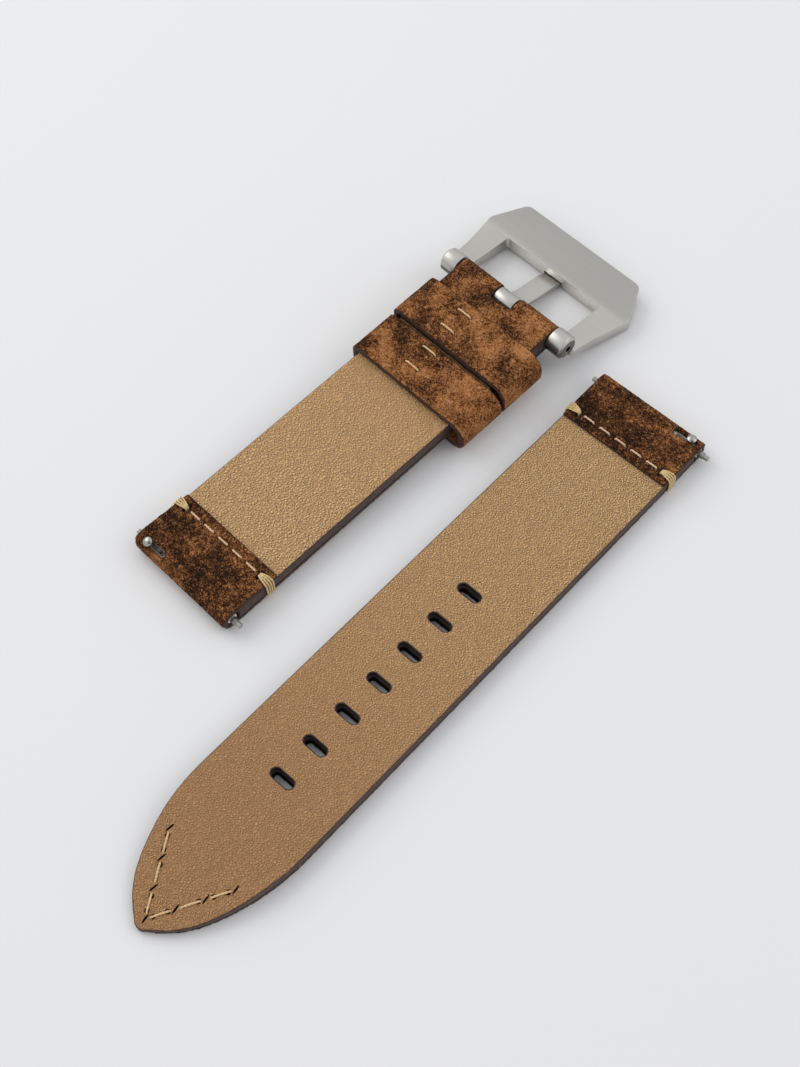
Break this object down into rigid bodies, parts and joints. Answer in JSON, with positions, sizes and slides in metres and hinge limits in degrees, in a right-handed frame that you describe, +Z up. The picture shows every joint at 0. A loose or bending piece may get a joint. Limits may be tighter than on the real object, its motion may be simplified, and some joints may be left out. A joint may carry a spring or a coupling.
{
  "type": "leather watch strap",
  "caption": "Two-piece leather watch strap with a steel pin buckle, two leather keepers and quick-release spring bars, lying lining side up.",
  "frame": {"origin": "centre of the bounding box on the table that the strap lies on", "axes": "+Z up from the table with the lining side up; +Y from the buckle half's lug end towards its buckle; +X from the buckle half towards the tail half"},
  "size_m": [0.0646, 0.14, 0.0086],
  "materials": {
    "distressed_leather": "distressed nubuck, mottled brown",
    "keeper_leather": "distressed nubuck, warm brown",
    "lining_leather": "matt, fine grain",
    "core_board": "bonded leather board with painted edges",
    "thread": "waxed sewing thread",
    "brushed_steel": "brushed with polished bevels",
    "polished_steel": "polished",
    "bar_steel": "turned steel",
    "spring_steel": "wire"
  },
  "bodies": {
    "buckle_half": {"buckle_half_outer_leather": "distressed_leather", "buckle_half_core": "core_board", "buckle_half_lining": "lining_leather", "buckle_half_lug_stitching": "thread", "buckle_half_left_tack": "thread", "buckle_half_right_tack": "thread", "buckle_half_bar_tube": "bar_steel", "buckle_half_bar_fixed_tip": "bar_steel", "buckle_half_bar_spring": "spring_steel", "fixed_keeper": "keeper_leather", "fixed_keeper_stitches": "thread", "buckle_bar_tube": "bar_steel", "buckle_bar_spring": "spring_steel"},
    "buckle_half_release": {"buckle_half_bar_plunger": "bar_steel", "buckle_half_release_knob": "polished_steel"},
    "free_keeper": {"free_keeper": "keeper_leather", "free_keeper_stitches": "thread"},
    "buckle": {"buckle_frame": "brushed_steel"},
    "tongue": {"buckle_tongue": "brushed_steel"},
    "buckle_plunger_left": {"buckle_bar_plunger_left": "bar_steel"},
    "buckle_plunger_right": {"buckle_bar_plunger_right": "bar_steel"},
    "tail_half": {"tail_outer_leather": "distressed_leather", "tail_core": "core_board", "tail_lining": "lining_leather", "tail_lug_stitching": "thread", "tail_left_tack": "thread", "tail_right_tack": "thread", "tail_tip_stitching": "thread", "tail_bar_tube": "bar_steel", "tail_bar_fixed_tip": "bar_steel", "tail_bar_spring": "spring_steel"},
    "tail_release": {"tail_bar_plunger": "bar_steel", "tail_release_knob": "polished_steel"}
  },
  "joints": [
    {"name": "buckle_hinge", "type": "hinge", "parent": "buckle_half", "child": "buckle", "pos_m": [-0.0154, 0.04892, 0.00538], "axis": [1, 0, 0], "range_deg": [0, 130]},
    {"name": "tongue_hinge", "type": "hinge", "parent": "buckle", "child": "tongue", "pos_m": [-0.0154, 0.04892, 0.00538], "axis": [1, 0, 0], "range_deg": [-60, 0]},
    {"name": "free_keeper_slide", "type": "slide", "parent": "buckle_half", "child": "free_keeper", "axis": [0, 0.9991, 0.0433], "range_m": [-0.0385, 0.0005]},
    {"name": "buckle_half_release_slide", "type": "slide", "parent": "buckle_half", "child": "buckle_half_release", "axis": [1, 0, 0], "range_m": [0, 0.002], "stiffness_N_per_m": 300, "springref_m": -0.002},
    {"name": "buckle_plunger_left_slide", "type": "slide", "parent": "buckle_half", "child": "buckle_plunger_left", "axis": [1, 0, 0], "range_m": [0, 0.0023], "stiffness_N_per_m": 300, "springref_m": -0.002},
    {"name": "buckle_plunger_right_slide", "type": "slide", "parent": "buckle_half", "child": "buckle_plunger_right", "axis": [-1, 0, 0], "range_m": [0, 0.0023], "stiffness_N_per_m": 300, "springref_m": -0.002},
    {"name": "tail_half_lift", "type": "slide", "parent": "buckle_half", "child": "tail_half", "axis": [0, 0, 1], "range_m": [0, 0.03]},
    {"name": "tail_release_slide", "type": "slide", "parent": "tail_half", "child": "tail_release", "axis": [-0.9991, -0.0419, 0], "range_m": [0, 0.002], "stiffness_N_per_m": 300, "springref_m": -0.002}
  ]
}
